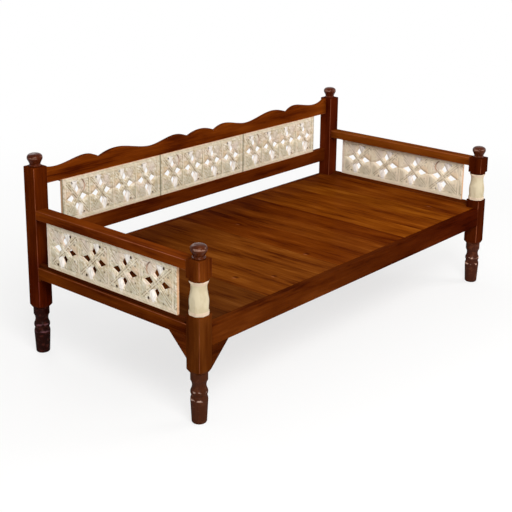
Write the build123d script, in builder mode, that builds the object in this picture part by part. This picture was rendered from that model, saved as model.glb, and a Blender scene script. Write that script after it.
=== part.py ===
# A Persian takht: a planked daybed on four turned posts, with pierced lattice panels in its two
# arms and its back. Millimetres, Z up, X along the length, Y from the open front to the back.
# The origin is on the floor, at the middle of the plan.
import os
from math import cos, radians, sin, sqrt

from build123d import *

os.makedirs("parts", exist_ok=True)

# Overall sizes
overall_length = 2100.0
overall_depth = 1020.0
seat_height = 403.0

# Posts
post_size = 70.0
post_edge_radius = 3.0
post_top_chamfer = 2.0
foot_height = 224.0
front_post_height = 664.0
front_block_height = 75.0
vase_height = 145.0
rear_post_height = 839.0

# Turned foot: radii, and how far each feature lies below the square part of the post
foot_top_radius = 34.3
foot_neck_radius = 28.0
foot_bead_radius = 34.5
foot_groove_radius = 31.0
foot_ring_radius = 34.8
foot_base_radius = 30.0
foot_pommel_height = 14.0
foot_cylinder_drop = 45.0
foot_neck_drop = 69.0
foot_bead_drop = 94.0
foot_bead_half_height = 12.0
foot_ring_drop = 126.0
foot_ring_shoulder = 16.0
foot_ring_bow = 1.2
foot_base_rounding = 8.0

# Turned vase of the front posts
vase_collar_radius = 39.0
vase_collar_height = 15.0
vase_belly_radius = 37.8
vase_neck_radius = 31.0
vase_lip_radius = 38.0
vase_lip_height = 14.0
vase_groove_depth = 1.5
vase_groove_width = 2.5
vase_belly_share = 0.36
vase_neck_share = 0.76

# Turned knobs on the posts
finial_collar_radius = 26.0
finial_collar_height = 7.0
finial_collar_bow = 1.0
finial_collar_step = 1.5
finial_neck_radius = 22.5
finial_neck_height = 5.0
finial_knob_radius = 33.0
finial_flare_height = 24.0
finial_dome_height = 20.0
finial_dome_fullness = 0.8
finial_dowel_radius = 10.0
finial_dowel_length = 25.0

# Seat frame
apron_thickness = 30.0
front_apron_height = 89.0
side_apron_height = 50.0
gusset_run = 92.0
side_gusset_drop = 88.0
gusset_screw_share = 0.36
gusset_screw_offset = 6.5
gusset_pocket_depth = 8.0
gusset_pocket_clearance = 1.0
corner_block_leg = 15.0

# Seat planks and what carries them
board_thickness = 20.0
board_gap = 0.8
board_edge_chamfer = 1.0
board_widths = (163, 225, 172, 165, 143, 202, 153, 154, 147, 148, 148, 220)
ledger_width = 30.0
ledger_height = 30.0
bearer_width = 60.0
cross_rail_width = 40.0
cross_rail_offset = 325.0

# Arms
arm_rail_width = 58.0
arm_rail_height = 40.0
arm_rail_drop = 7.0
arm_panel_thickness = 15.0
arm_panel_inset = 10.0
arm_panel_end_gap = 57.0
arm_panel_rim = 20.0
cleat_height = 16.0
cleat_setback = 2.0

# Back
back_rail_thickness = 28.0
back_rail_inset = 8.0
lower_back_rail_base = 482.0
lower_back_rail_height = 70.0
back_panel_height = 200.0
back_panel_thickness = 14.0
back_panel_count = 3
back_panel_end_gap = 102.0
back_panel_rim = 16.0
bead_height = 10.0
bead_thickness = 12.0

# Crest rail: heights of its scalloped top edge above its bottom edge, from the middle outwards
crest_centre_height = 74.0
crest_inner_notch_height = 54.0
crest_inner_hump_height = 74.0
crest_inner_hollow_height = 50.0
crest_middle_hump_height = 79.0
crest_outer_notch_height = 57.0
crest_outer_hump_height = 82.0
crest_outer_shoulder_height = 73.0
crest_outer_hollow_height = 60.0
crest_end_height = 83.0
crest_edge_radius = 4.0
# and where those notches, humps and hollows are, as shares of half the rail's length
crest_inner_notch = 0.096
crest_inner_hump = 0.165
crest_inner_hollow = 0.332
crest_middle_hump = 0.525
crest_outer_notch = 0.668
crest_outer_hump = 0.745
crest_outer_shoulder = 0.815
crest_outer_hollow = 0.915

# Lattice: openings of one module, as shares of its width or height from its middle
module_count = 4
lattice_rim_height = 16.0
kite_inner_share = 0.12
kite_widest_share = 0.212
kite_outer_share = 0.4
kite_half_height_share = 0.1
slot_inner_share = 0.125
slot_widest_share = 0.217
slot_outer_share = 0.37
slot_half_width_share = 0.083
dot_radius = 6.0
dot_side_share = 0.235
dot_height_share = 0.42

# Joinery and fastenings
stock_edge_radius = 3.0
tenon_thickness = 12.0
tenon_length = 30.0
tenon_to_dowel = 2.0
tenon_shoulder = 9.0
stub_tenon_length = 10.0
joint_clearance = 0.2
screw_radius = 2.2
screw_head_radius = 4.5
screw_head_height = 3.0
screw_bite = 14.0
ledger_screw_count = 6
dowel_radius = 3.0
dowel_length = 20.0
dowel_count = 3
pin_radius = 1.0
pin_bite = 7.0

# Places that follow from those sizes
half_length = overall_length / 2
half_depth = overall_depth / 2
post_x = half_length - post_size / 2
post_y = half_depth - post_size / 2
span_x = half_length - post_size
span_y = half_depth - post_size
front_apron_base = seat_height - front_apron_height
side_apron_base = seat_height - side_apron_height
board_base = seat_height - board_thickness
ledger_base = board_base - ledger_height
deck_half_length = half_length - apron_thickness
deck_half_depth = half_depth - apron_thickness
ledger_y = deck_half_depth - ledger_width / 2
arm_rail_top = front_post_height - arm_rail_drop
arm_rail_base = arm_rail_top - arm_rail_height
arm_tenon_length = post_size / 2 - finial_dowel_radius - tenon_to_dowel
arm_panel_base = seat_height + cleat_height
arm_panel_half_length = span_y - arm_panel_end_gap
arm_panel_x = half_length - arm_panel_inset - arm_panel_thickness / 2
back_rail_y = half_depth - back_rail_inset - back_rail_thickness / 2
back_face_y = back_rail_y - back_rail_thickness / 2
back_panel_base = lower_back_rail_base + lower_back_rail_height
crest_base = back_panel_base + back_panel_height
back_panels_half_length = span_x - back_panel_end_gap
bead_y = back_face_y + back_panel_thickness + bead_thickness / 2
hole_radius = screw_radius + joint_clearance


def finish(piece, label):
    """Names a finished piece and writes it to its own file."""
    piece.part.label = label
    export_step(piece.part, f"parts/{label}.step")


def block(x_range, y_range, z_range, mode=Mode.ADD):
    """Adds or cuts a box that fills three ranges."""
    ranges = (x_range, y_range, z_range)
    middle = [(low + high) / 2 for low, high in ranges]
    sizes = [high - low for low, high in ranges]
    with Locations(tuple(middle)):
        Box(*sizes, mode=mode)


def around(middle, half):
    """The range that reaches half to each side of a middle."""
    return (middle - half, middle + half)


def rods(starts, direction, length, radius, mode=Mode.ADD):
    """Adds or cuts equal round rods that start at some points and run along one direction."""
    with Locations(*[Plane(origin=start, z_dir=direction) for start in starts]):
        Cylinder(radius, length, align=(Align.CENTER, Align.CENTER, Align.MIN), mode=mode)


# ---------------------------------------------------------------- tenons
# Every rail end has one tenon, and its post or apron has the mortise. Both come from the middle of
# the rail's section, so they stay in line.


def tenon_x(side, shoulder_x, y, z_range, length, mode=Mode.ADD, clearance=0.0):
    """A tenon, or its mortise, that points along X from a shoulder."""
    tip = side * (shoulder_x + length + clearance)
    x_range = (min(side * shoulder_x, tip), max(side * shoulder_x, tip))
    low, high = z_range
    z_inner = (low + tenon_shoulder - clearance, high - tenon_shoulder + clearance)
    block(x_range, around(y, tenon_thickness / 2 + clearance), z_inner, mode)


def tenon_y(side, shoulder_y, x, z_range, length, mode=Mode.ADD, clearance=0.0):
    """A tenon, or its mortise, that points along Y from a shoulder."""
    tip = side * (shoulder_y + length + clearance)
    y_range = (min(side * shoulder_y, tip), max(side * shoulder_y, tip))
    low, high = z_range
    z_inner = (low + tenon_shoulder - clearance, high - tenon_shoulder + clearance)
    block(around(x, tenon_thickness / 2 + clearance), y_range, z_inner, mode)


apron_y = half_depth - apron_thickness / 2
apron_x = half_length - apron_thickness / 2
arm_rail_x = half_length - arm_rail_width / 2
front_apron_z = (front_apron_base, seat_height)
side_apron_z = (side_apron_base, seat_height)
arm_rail_z = (arm_rail_base, arm_rail_top)
lower_rail_z = (lower_back_rail_base, back_panel_base)
crest_z = (crest_base, crest_base + crest_inner_hollow_height)


# ---------------------------------------------------------------- posts


def draw_foot(reach):
    """Half outline of a turned foot, from the floor at the axis up to beyond the post's corners."""
    neck = foot_height - foot_neck_drop
    bead = foot_height - foot_bead_drop
    bead_low = bead - foot_bead_half_height
    bead_high = bead + foot_bead_half_height
    ring = foot_height - foot_ring_drop
    tip_radius = foot_base_radius - foot_base_rounding
    bow = foot_base_rounding * (1 - sin(radians(45)))
    Line((0, 0), (tip_radius, 0))
    ThreePointArc((tip_radius, 0), (foot_base_radius - bow, bow), (foot_base_radius, foot_base_rounding))
    Line((foot_base_radius, foot_base_rounding), (foot_ring_radius, ring))
    ThreePointArc(
        (foot_ring_radius, ring),
        (foot_ring_radius - foot_ring_bow, ring + foot_ring_shoulder / 2),
        (foot_groove_radius, ring + foot_ring_shoulder),
    )
    Line((foot_groove_radius, ring + foot_ring_shoulder), (foot_groove_radius, bead_low))
    ThreePointArc((foot_groove_radius, bead_low), (foot_bead_radius, bead), (foot_groove_radius, bead_high))
    ThreePointArc(
        (foot_groove_radius, bead_high),
        (foot_neck_radius, neck),
        (foot_top_radius, foot_height - foot_cylinder_drop),
    )
    pommel = foot_height - foot_pommel_height
    Line((foot_top_radius, foot_height - foot_cylinder_drop), (foot_top_radius, pommel))
    last = (reach, foot_height + reach - post_size / sqrt(2))
    Line((foot_top_radius, pommel), last)
    return last


def draw_vase(reach, base):
    """Half outline of the vase, from the block below it to the block above it."""
    collar_top = base + vase_collar_height
    groove_top = collar_top + vase_groove_width
    lip_base = base + vase_height - vase_lip_height
    top = base + vase_height
    body = lip_base - groove_top
    groove_radius = vase_belly_radius - vase_groove_depth
    lip_groove = vase_lip_radius - vase_groove_depth
    Line((reach, base), (vase_collar_radius - vase_groove_depth, base))
    Line((vase_collar_radius - vase_groove_depth, base), (vase_collar_radius, base + vase_groove_width))
    Line((vase_collar_radius, base + vase_groove_width), (vase_collar_radius, collar_top))
    Line((vase_collar_radius, collar_top), (groove_radius, groove_top))
    Spline(
        (groove_radius, groove_top),
        (vase_belly_radius, groove_top + body * vase_belly_share),
        (vase_neck_radius, groove_top + body * vase_neck_share),
        (lip_groove, lip_base - vase_groove_width),
        tangents=((0.02, 1), (0.8, 1)),
    )
    Line((lip_groove, lip_base - vase_groove_width), (lip_groove, lip_base))
    Line((lip_groove, lip_base), (vase_lip_radius, lip_base))
    Line((vase_lip_radius, lip_base), (vase_lip_radius, top))
    Line((vase_lip_radius, top), (reach, top))
    return (reach, top)


def make_post(label, side, end, height, has_vase):
    """One post. side is -1 at the left and 1 at the right, end is -1 at the front and 1 at the rear."""
    centre = (side * post_x, end * post_y)
    axis_plane = Plane(origin=(*centre, 0), x_dir=(1, 0, 0), z_dir=(0, -1, 0))
    reach = post_size
    with BuildPart() as post:
        with BuildSketch(Plane.XY):
            with Locations(centre):
                Rectangle(post_size, post_size)
        extrude(amount=height)
        fillet(post.edges().filter_by(Axis.Z), post_edge_radius)
        chamfer(post.faces().sort_by(Axis.Z)[-1].edges(), post_top_chamfer)
        with BuildSketch(axis_plane):
            with BuildLine():
                last = draw_foot(reach)
                if has_vase:
                    base = front_post_height - front_block_height - vase_height
                    Line(last, (reach, base))
                    last = draw_vase(reach, base)
                Line(last, (reach, height))
                Line((reach, height), (0, height))
                Line((0, height), (0, 0))
            make_face()
        revolve(axis=Axis((*centre, 0), (0, 0, 1)), mode=Mode.INTERSECT)
        cut = (Mode.SUBTRACT, joint_clearance)
        tenon_x(side, span_x, end * apron_y, front_apron_z, tenon_length, *cut)
        tenon_y(end, span_y, side * apron_x, side_apron_z, tenon_length, *cut)
        tenon_y(end, span_y, side * arm_rail_x, arm_rail_z, arm_tenon_length, *cut)
        if not has_vase:
            tenon_x(side, span_x, back_rail_y, lower_rail_z, tenon_length, *cut)
            tenon_x(side, span_x, back_rail_y, crest_z, tenon_length, *cut)
        socket_depth = finial_dowel_length + joint_clearance
        socket_radius = finial_dowel_radius + joint_clearance
        rods([(*centre, height)], (0, 0, -1), socket_depth, socket_radius, Mode.SUBTRACT)
        if side < 0 and end < 0:
            cut_gusset_holes()
    finish(post, label)


def make_finial(label, side, end, height):
    """One turned knob, with the dowel that goes into its post."""
    centre = (side * post_x, end * post_y)
    neck_base = height + finial_collar_height
    neck_top = neck_base + finial_neck_height
    neck_top_radius = finial_neck_radius + finial_collar_bow
    widest = neck_top + finial_flare_height
    top = widest + finial_dome_height
    flare = [
        (neck_top_radius + (finial_knob_radius - neck_top_radius) * out, neck_top + finial_flare_height * up)
        for out, up in ((0, 0), (0.5, 0.45), (0.92, 0.78), (1, 1))
    ]
    dome = [
        (
            finial_knob_radius * cos(radians(angle)) ** finial_dome_fullness,
            widest + finial_dome_height * sin(radians(angle)) ** finial_dome_fullness,
        )
        for angle in (25, 45, 65)
    ]
    with BuildPart() as finial:
        with BuildSketch(Plane(origin=(*centre, 0), x_dir=(1, 0, 0), z_dir=(0, -1, 0))):
            with BuildLine():
                Polyline(
                    (0, height - finial_dowel_length),
                    (finial_dowel_radius, height - finial_dowel_length),
                    (finial_dowel_radius, height),
                    (finial_collar_radius, height),
                )
                ThreePointArc(
                    (finial_collar_radius, height),
                    (finial_collar_radius + finial_collar_bow, height + finial_collar_height / 2),
                    (finial_collar_radius - finial_collar_step, neck_base),
                )
                ThreePointArc(
                    (finial_collar_radius - finial_collar_step, neck_base),
                    (finial_neck_radius, neck_base + finial_neck_height / 2),
                    (neck_top_radius, neck_top),
                )
                Spline(*flare, *dome, (0, top), tangents=((0.5, 1), (-1, 0)), tangent_scalars=(0.5, 0.5))
                Line((0, top), (0, height - finial_dowel_length))
            make_face()
        revolve(axis=Axis((*centre, 0), (0, 0, 1)))
    finish(finial, label)


# ---------------------------------------------------------------- rails and aprons


def make_rail_x(label, y, thickness, z_range):
    """A rail along X between two posts, with a tenon at each end."""
    with BuildPart() as rail:
        block(around(0, span_x), around(y, thickness / 2), z_range)
        fillet(rail.edges().filter_by(Axis.X), stock_edge_radius)
        for side in (-1, 1):
            tenon_x(side, span_x, y, z_range, tenon_length)
        if abs(y) == apron_y:
            cut_apron_holes(y)
        if y == -apron_y:
            cut_gusset_holes()
        if y == back_rail_y:
            cut_pin_holes()
    finish(rail, label)


def make_rail_y(label, x, width, z_range, length):
    """A rail along Y between two posts, with a tenon at each end."""
    with BuildPart() as rail:
        block(around(x, width / 2), around(0, span_y), z_range)
        fillet(rail.edges().filter_by(Axis.Y), stock_edge_radius)
        for end in (-1, 1):
            tenon_y(end, span_y, x, z_range, length)
        if abs(x) == apron_x:
            side = 1 if x > 0 else -1
            tenon_x(side, deck_half_length, 0, bearer_z, stub_tenon_length, Mode.SUBTRACT, joint_clearance)
        if x == -apron_x:
            cut_gusset_holes()
        cut_dowel_holes()
    finish(rail, label)


def cut_apron_holes(y):
    """Mortises for the cross rails and holes for the ledger's screws in a front or rear apron."""
    end = 1 if y > 0 else -1
    cut = (Mode.SUBTRACT, joint_clearance)
    for cross_x in (-cross_rail_offset, cross_rail_offset):
        tenon_y(end, deck_half_depth, cross_x, cross_rail_z, stub_tenon_length, *cut)
    starts = [(x, end * deck_half_depth, ledger_middle) for x in ledger_screw_places]
    rods(starts, (0, end, 0), screw_bite + joint_clearance, hole_radius, Mode.SUBTRACT)


# ---------------------------------------------------------------- gussets
# The braces at the front left corner: one under each apron, against the post, with two screws each
# that sit in pockets in the sloping edge.

front_gusset_drop = front_apron_base - foot_height
gusset_pocket_radius = screw_head_radius + gusset_pocket_clearance


def gusset_screw_lines():
    """Start, direction and length of each gusset screw, from its head's seat."""
    front_up = gusset_run * (1 - gusset_screw_share)
    front_low = front_gusset_drop * gusset_screw_share
    side_up = gusset_run * (1 - gusset_screw_share)
    side_low = side_gusset_drop * gusset_screw_share
    front_x = -span_x + gusset_run * gusset_screw_share
    side_y = -span_y + gusset_run * gusset_screw_share
    under_front = front_apron_base - front_gusset_drop * (1 - gusset_screw_share) + gusset_pocket_depth
    under_side = side_apron_base - side_gusset_drop * (1 - gusset_screw_share) + gusset_pocket_depth
    front_z = front_apron_base - front_low
    side_z = side_apron_base - side_low
    front_reach = front_up - gusset_pocket_depth
    side_reach = side_up - gusset_pocket_depth
    outer_y = -apron_y - gusset_screw_offset
    inner_y = -apron_y + gusset_screw_offset
    outer_x = -apron_x - gusset_screw_offset
    inner_x = -apron_x + gusset_screw_offset
    return [
        ((front_x, inner_y, under_front), (0, 0, 1), front_apron_base - under_front),
        ((inner_x, side_y, under_side), (0, 0, 1), side_apron_base - under_side),
        ((-span_x + front_reach, outer_y, front_z), (-1, 0, 0), front_reach),
        ((outer_x, -span_y + side_reach, side_z), (0, -1, 0), side_reach),
    ]


def cut_gusset_holes():
    """Shank holes of the gusset screws, through the gusset and into the wood behind it."""
    for start, direction, length in gusset_screw_lines():
        rods([start], direction, length + screw_bite + joint_clearance, hole_radius, Mode.SUBTRACT)


def cut_gusset_pockets():
    """Pockets in the sloping edges that let the screw heads in."""
    for start, direction, _ in gusset_screw_lines():
        backward = tuple(-part for part in direction)
        rods([start], backward, gusset_run, gusset_pocket_radius, Mode.SUBTRACT)


def make_front_gusset():
    """The brace under the front apron."""
    plane = Plane(origin=(-span_x, -half_depth, front_apron_base), x_dir=(1, 0, 0), z_dir=(0, -1, 0))
    with BuildPart() as gusset:
        with BuildSketch(plane):
            with BuildLine():
                Polyline((0, 0), (gusset_run, 0), (0, -front_gusset_drop), close=True)
            make_face()
        extrude(amount=-apron_thickness)
        fillet(gusset.edges().group_by(SortBy.LENGTH)[-1], stock_edge_radius)
        cut_gusset_holes()
        cut_gusset_pockets()
    finish(gusset, "front_gusset")


def make_left_gusset():
    """The brace under the left apron."""
    plane = Plane(origin=(-half_length, -span_y, side_apron_base), x_dir=(0, 1, 0), z_dir=(1, 0, 0))
    with BuildPart() as gusset:
        with BuildSketch(plane):
            with BuildLine():
                Polyline((0, 0), (gusset_run, 0), (0, -side_gusset_drop), close=True)
            make_face()
        extrude(amount=apron_thickness)
        fillet(gusset.edges().group_by(SortBy.LENGTH)[-1], stock_edge_radius)
        cut_gusset_holes()
        cut_gusset_pockets()
    finish(gusset, "left_gusset")


def make_corner_block():
    """The small triangular block under the left apron at the rear post."""
    plane = Plane(origin=(-half_length, span_y, side_apron_base), x_dir=(0, 1, 0), z_dir=(1, 0, 0))
    with BuildPart() as corner:
        with BuildSketch(plane):
            with BuildLine():
                Polyline((0, 0), (-corner_block_leg, 0), (0, -corner_block_leg), close=True)
            make_face()
        extrude(amount=apron_thickness)
    finish(corner, "rear_left_corner_block")


# ---------------------------------------------------------------- seat

total_width = sum(board_widths)
edges_x = [-deck_half_length]
for width in board_widths:
    edges_x.append(edges_x[-1] + width / total_width * 2 * deck_half_length)
board_middles = [(low + high) / 2 for low, high in zip(edges_x, edges_x[1:])]
board_lines = (-ledger_y, 0.0, ledger_y)
bearer_z = (ledger_base, board_base)
cross_rail_z = (front_apron_base, ledger_base)
ledger_pitch = 2 * span_x / ledger_screw_count
ledger_screw_places = [-span_x + ledger_pitch * (step + 0.5) for step in range(ledger_screw_count)]
ledger_middle = ledger_base + ledger_height / 2


def ledger_screw_starts(end):
    """Where the screws of one ledger start, on its inner face."""
    return [(x, end * (deck_half_depth - ledger_width), ledger_middle) for x in ledger_screw_places]


def board_screw_starts(columns, lines):
    """Where the screws start that hold the planks from below, at some X columns and Y lines."""
    return [(x, y, ledger_base) for x in columns for y in lines]


def cut_board_screw_holes(columns, lines):
    """Holes of those screws, through the wood under the planks and into the planks."""
    length = ledger_height + screw_bite + joint_clearance
    rods(board_screw_starts(columns, lines), (0, 0, 1), length, hole_radius, Mode.SUBTRACT)


def make_board(number, low_x, high_x):
    """One plank. The first and the last are notched around the posts."""
    post_face = span_x - joint_clearance
    notch_y = span_y - joint_clearance
    with BuildPart() as board:
        block((low_x, high_x), around(0, deck_half_depth), (board_base, seat_height))
        for side in (-1, 1):
            if max(side * low_x, side * high_x) < post_face:
                continue
            notch_x = sorted((side * post_face, side * half_length))
            for end in (-1, 1):
                notch_y_range = sorted((end * notch_y, end * half_depth))
                block(notch_x, notch_y_range, (0, front_post_height), Mode.SUBTRACT)
        upper = board.edges().filter_by(Axis.Y).group_by(Axis.Z)[-1]
        chamfer(upper.filter_by(lambda edge: edge.length > span_y), board_edge_chamfer)
        cut_board_screw_holes([board_middles[number - 1]], board_lines)
    finish(board, f"deck_board_{number:02d}")


def make_ledger(label, end):
    """A strip under the ends of the planks, screwed to the inside of its apron."""
    with BuildPart() as ledger:
        block(around(0, span_x), around(end * ledger_y, ledger_width / 2), bearer_z)
        cut_board_screw_holes(board_middles, [end * ledger_y])
        rods(ledger_screw_starts(end), (0, end, 0), ledger_width, hole_radius, Mode.SUBTRACT)
    finish(ledger, label)


def make_centre_bearer():
    """The lengthwise strip under the middle of the planks, housed in the side aprons."""
    with BuildPart() as bearer:
        block(around(0, deck_half_length), around(0, bearer_width / 2), bearer_z)
        for side in (-1, 1):
            tenon_x(side, deck_half_length, 0, bearer_z, stub_tenon_length)
        cut_board_screw_holes(board_middles, [0.0])
    finish(bearer, "centre_bearer")


def make_cross_rail(label, side):
    """A rail from the front apron to the rear one, under the bearer."""
    x = side * cross_rail_offset
    with BuildPart() as rail:
        block(around(x, cross_rail_width / 2), around(0, deck_half_depth), cross_rail_z)
        for end in (-1, 1):
            tenon_y(end, deck_half_depth, x, cross_rail_z, stub_tenon_length)
    finish(rail, label)


# ---------------------------------------------------------------- back


def crest_point(side, share, height):
    """A point of the scalloped edge: side, share of the half length, height above the rail's base."""
    return (side * share * span_x, crest_base + height)


def make_crest_rail():
    """The scalloped top rail of the back: humps and hollows, mirrored about the middle."""
    with BuildPart() as crest:
        with BuildSketch(Plane.XZ.offset(-back_face_y)):
            with BuildLine():
                ThreePointArc(
                    crest_point(-1, crest_inner_notch, crest_inner_notch_height),
                    crest_point(1, 0, crest_centre_height),
                    crest_point(1, crest_inner_notch, crest_inner_notch_height),
                )
                for side in (-1, 1):
                    Spline(
                        crest_point(side, crest_inner_notch, crest_inner_notch_height),
                        crest_point(side, crest_inner_hump, crest_inner_hump_height),
                        crest_point(side, crest_inner_hollow, crest_inner_hollow_height),
                        crest_point(side, crest_middle_hump, crest_middle_hump_height),
                        crest_point(side, crest_outer_notch, crest_outer_notch_height),
                    )
                    Spline(
                        crest_point(side, crest_outer_notch, crest_outer_notch_height),
                        crest_point(side, crest_outer_hump, crest_outer_hump_height),
                        crest_point(side, crest_outer_shoulder, crest_outer_shoulder_height),
                        crest_point(side, crest_outer_hollow, crest_outer_hollow_height),
                        crest_point(side, 1, crest_end_height),
                    )
                    Line(crest_point(side, 1, crest_end_height), crest_point(side, 1, 0))
                Line(crest_point(-1, 1, 0), crest_point(1, 1, 0))
            make_face()
        extrude(amount=-back_rail_thickness)
        upper = crest.edges().filter_by(lambda edge: edge.geom_type != GeomType.LINE)
        fillet(upper, crest_edge_radius)
        for side in (-1, 1):
            tenon_x(side, span_x, back_rail_y, crest_z, tenon_length)
        cut_pin_holes()
    finish(crest, "crest_rail")


back_panel_width = 2 * back_panels_half_length / back_panel_count
pins_per_panel = 2
bead_middles = (back_panel_base + bead_height / 2, crest_base - bead_height / 2)


def pin_starts():
    """Where the pins start that go through the beads into the rims of the back panels."""
    pitch = back_panel_width / pins_per_panel
    count = back_panel_count * pins_per_panel
    columns = [-back_panels_half_length + pitch * (step + 0.5) for step in range(count)]
    return [(x, bead_y + bead_thickness / 2, z) for x in columns for z in bead_middles]


def cut_pin_holes():
    """Holes of those pins, through the beads and into the panels."""
    length = bead_thickness + pin_bite + joint_clearance
    rods(pin_starts(), (0, -1, 0), length, pin_radius + joint_clearance / 2, Mode.SUBTRACT)


def make_bead(label, middle_z):
    """A strip behind the back panels, along one of the rails."""
    with BuildPart() as bead:
        block(
            around(0, back_panels_half_length),
            around(bead_y, bead_thickness / 2),
            around(middle_z, bead_height / 2),
        )
        cut_pin_holes()
    finish(bead, label)


# ---------------------------------------------------------------- lattice panels


def draw_kite(inner, widest, outer, half):
    """A four-cornered opening with its sharp end towards the middle of a module."""
    Polygon((inner, 0), (widest, -half), (outer, 0), (widest, half), align=None)


def draw_module_openings(width, height, hand):
    """The openings of one module: four kites round its middle, and two small round holes."""
    for turn in (0, 180):
        with Locations(Location((0, 0), turn)):
            draw_kite(
                kite_inner_share * width,
                kite_widest_share * width,
                kite_outer_share * width,
                kite_half_height_share * height,
            )
    for turn in (90, 270):
        with Locations(Location((0, 0), turn)):
            draw_kite(
                slot_inner_share * height,
                slot_widest_share * height,
                slot_outer_share * height,
                slot_half_width_share * width,
            )
    for turn in (-1, 1):
        with Locations((turn * hand * dot_side_share * width, turn * dot_height_share * height)):
            Circle(dot_radius)


def module_openings(length, height, rim, hand):
    """A sketch of the openings of all modules of a panel."""
    pitch = (length - 2 * rim) / module_count
    with BuildSketch() as openings:
        for number in range(module_count):
            with Locations(((number + 0.5) * pitch - length / 2 + rim, 0)):
                draw_module_openings(pitch, height - 2 * lattice_rim_height, hand)
    return openings.sketch


def make_panel(label, plane, length, height, thickness, rim, hand, cut_fastener_holes):
    """A pierced panel. The plane lies on its front face, at its middle."""
    with BuildPart() as panel:
        with BuildSketch(plane):
            Rectangle(length, height)
            add(module_openings(length, height, rim, hand), mode=Mode.SUBTRACT)
        extrude(amount=-thickness)
        cut_fastener_holes()
    finish(panel, label)


def dowel_places():
    """The middle of each dowel between an arm panel and the wood above and below it."""
    pitch = 2 * arm_panel_half_length / dowel_count
    places_y = [-arm_panel_half_length + pitch * (step + 0.5) for step in range(dowel_count)]
    heights = (arm_panel_base, arm_rail_base)
    return [(side * arm_panel_x, y, z) for side in (-1, 1) for y in places_y for z in heights]


def cut_dowel_holes():
    """Holes of the dowels above and below the arm panels."""
    half = dowel_length / 2 + joint_clearance / 2
    starts = [(x, y, z - half) for x, y, z in dowel_places()]
    rods(starts, (0, 0, 1), 2 * half, dowel_radius + joint_clearance / 2, Mode.SUBTRACT)


def make_cleat(label, side):
    """The strip that lifts an arm panel off the seat."""
    half_width = arm_panel_thickness / 2 - cleat_setback / 2
    with BuildPart() as cleat:
        block(
            around(side * arm_panel_x, half_width),
            around(0, span_y),
            (seat_height, arm_panel_base),
        )
        cut_dowel_holes()
    finish(cleat, label)


# ---------------------------------------------------------------- fastenings


def screws(starts, direction, length):
    """Equal screws with flat heads, from the seats of their heads."""
    rods(starts, direction, length, screw_radius)
    backward = tuple(-part for part in direction)
    rods(starts, backward, screw_head_height, screw_head_radius)


def make_fastenings():
    """Groups of screws, dowels and pins."""
    with BuildPart() as deck_screws:
        screws(board_screw_starts(board_middles, board_lines), (0, 0, 1), ledger_height + screw_bite)
    finish(deck_screws, "deck_screws")

    with BuildPart() as ledger_screws:
        for end in (-1, 1):
            screws(ledger_screw_starts(end), (0, end, 0), ledger_width + screw_bite)
    finish(ledger_screws, "ledger_screws")

    with BuildPart() as gusset_screws:
        for start, direction, length in gusset_screw_lines():
            screws([start], direction, length + screw_bite)
    finish(gusset_screws, "gusset_screws")

    with BuildPart() as dowels:
        starts = [(x, y, z - dowel_length / 2) for x, y, z in dowel_places()]
        rods(starts, (0, 0, 1), dowel_length, dowel_radius)
    finish(dowels, "arm_panel_dowels")

    with BuildPart() as pins:
        rods(pin_starts(), (0, -1, 0), bead_thickness + pin_bite, pin_radius)
    finish(pins, "back_panel_pins")


# ---------------------------------------------------------------- the takht

for side, side_name in ((-1, "left"), (1, "right")):
    make_post(f"front_{side_name}_post", side, -1, front_post_height, True)
    make_post(f"rear_{side_name}_post", side, 1, rear_post_height, False)
    make_finial(f"front_{side_name}_finial", side, -1, front_post_height)
    make_finial(f"rear_{side_name}_finial", side, 1, rear_post_height)
    make_rail_y(f"{side_name}_side_apron", side * apron_x, apron_thickness, side_apron_z, tenon_length)
    make_rail_y(f"{side_name}_arm_rail", side * arm_rail_x, arm_rail_width, arm_rail_z, arm_tenon_length)
    make_cleat(f"{side_name}_panel_cleat", side)
    make_cross_rail(f"cross_rail_{side_name}", side)

make_rail_x("front_apron", -apron_y, apron_thickness, front_apron_z)
make_rail_x("rear_apron", apron_y, apron_thickness, front_apron_z)
make_rail_x("lower_back_rail", back_rail_y, back_rail_thickness, lower_rail_z)
make_crest_rail()
make_front_gusset()
make_left_gusset()
make_corner_block()

for number, (low_x, high_x) in enumerate(zip(edges_x, edges_x[1:]), start=1):
    make_board(number, low_x + board_gap / 2, high_x - board_gap / 2)
make_ledger("front_ledger", -1)
make_ledger("rear_ledger", 1)
make_centre_bearer()

arm_panel_height = arm_rail_base - arm_panel_base
for side, side_name in ((-1, "left"), (1, "right")):
    face_x = side * arm_panel_x - arm_panel_thickness / 2
    face = Plane(
        origin=(face_x, 0, arm_panel_base + arm_panel_height / 2),
        x_dir=(0, -1, 0),
        z_dir=(-1, 0, 0),
    )
    make_panel(
        f"{side_name}_arm_panel",
        face,
        2 * arm_panel_half_length,
        arm_panel_height,
        arm_panel_thickness,
        arm_panel_rim,
        1,
        cut_dowel_holes,
    )

for number, place_name in enumerate(("left", "middle", "right")):
    middle_x = -back_panels_half_length + back_panel_width * (number + 0.5)
    face = Plane(
        origin=(middle_x, back_face_y, back_panel_base + back_panel_height / 2),
        x_dir=(1, 0, 0),
        z_dir=(0, -1, 0),
    )
    make_panel(
        f"back_panel_{place_name}",
        face,
        back_panel_width,
        back_panel_height,
        back_panel_thickness,
        back_panel_rim,
        -1,
        cut_pin_holes,
    )

make_bead("lower_back_bead", bead_middles[0])
make_bead("upper_back_bead", bead_middles[1])
make_fastenings()
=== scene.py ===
# %% [markdown]
# # A Persian takht, dressed in its finishes
# A takht is a low planked daybed. This one is brown stained and varnished pine, with cream carved
# lattice panels in its arms and back and a cream turned vase in each front post. The joinery comes
# from a packed construction model, which stays where it is. What is left to do here is the carving
# of the panels and the finish of every surface.

import bpy
import numpy as np
from mathutils import Matrix, Vector
from mathutils.geometry import delaunay_2d_cdt


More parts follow.
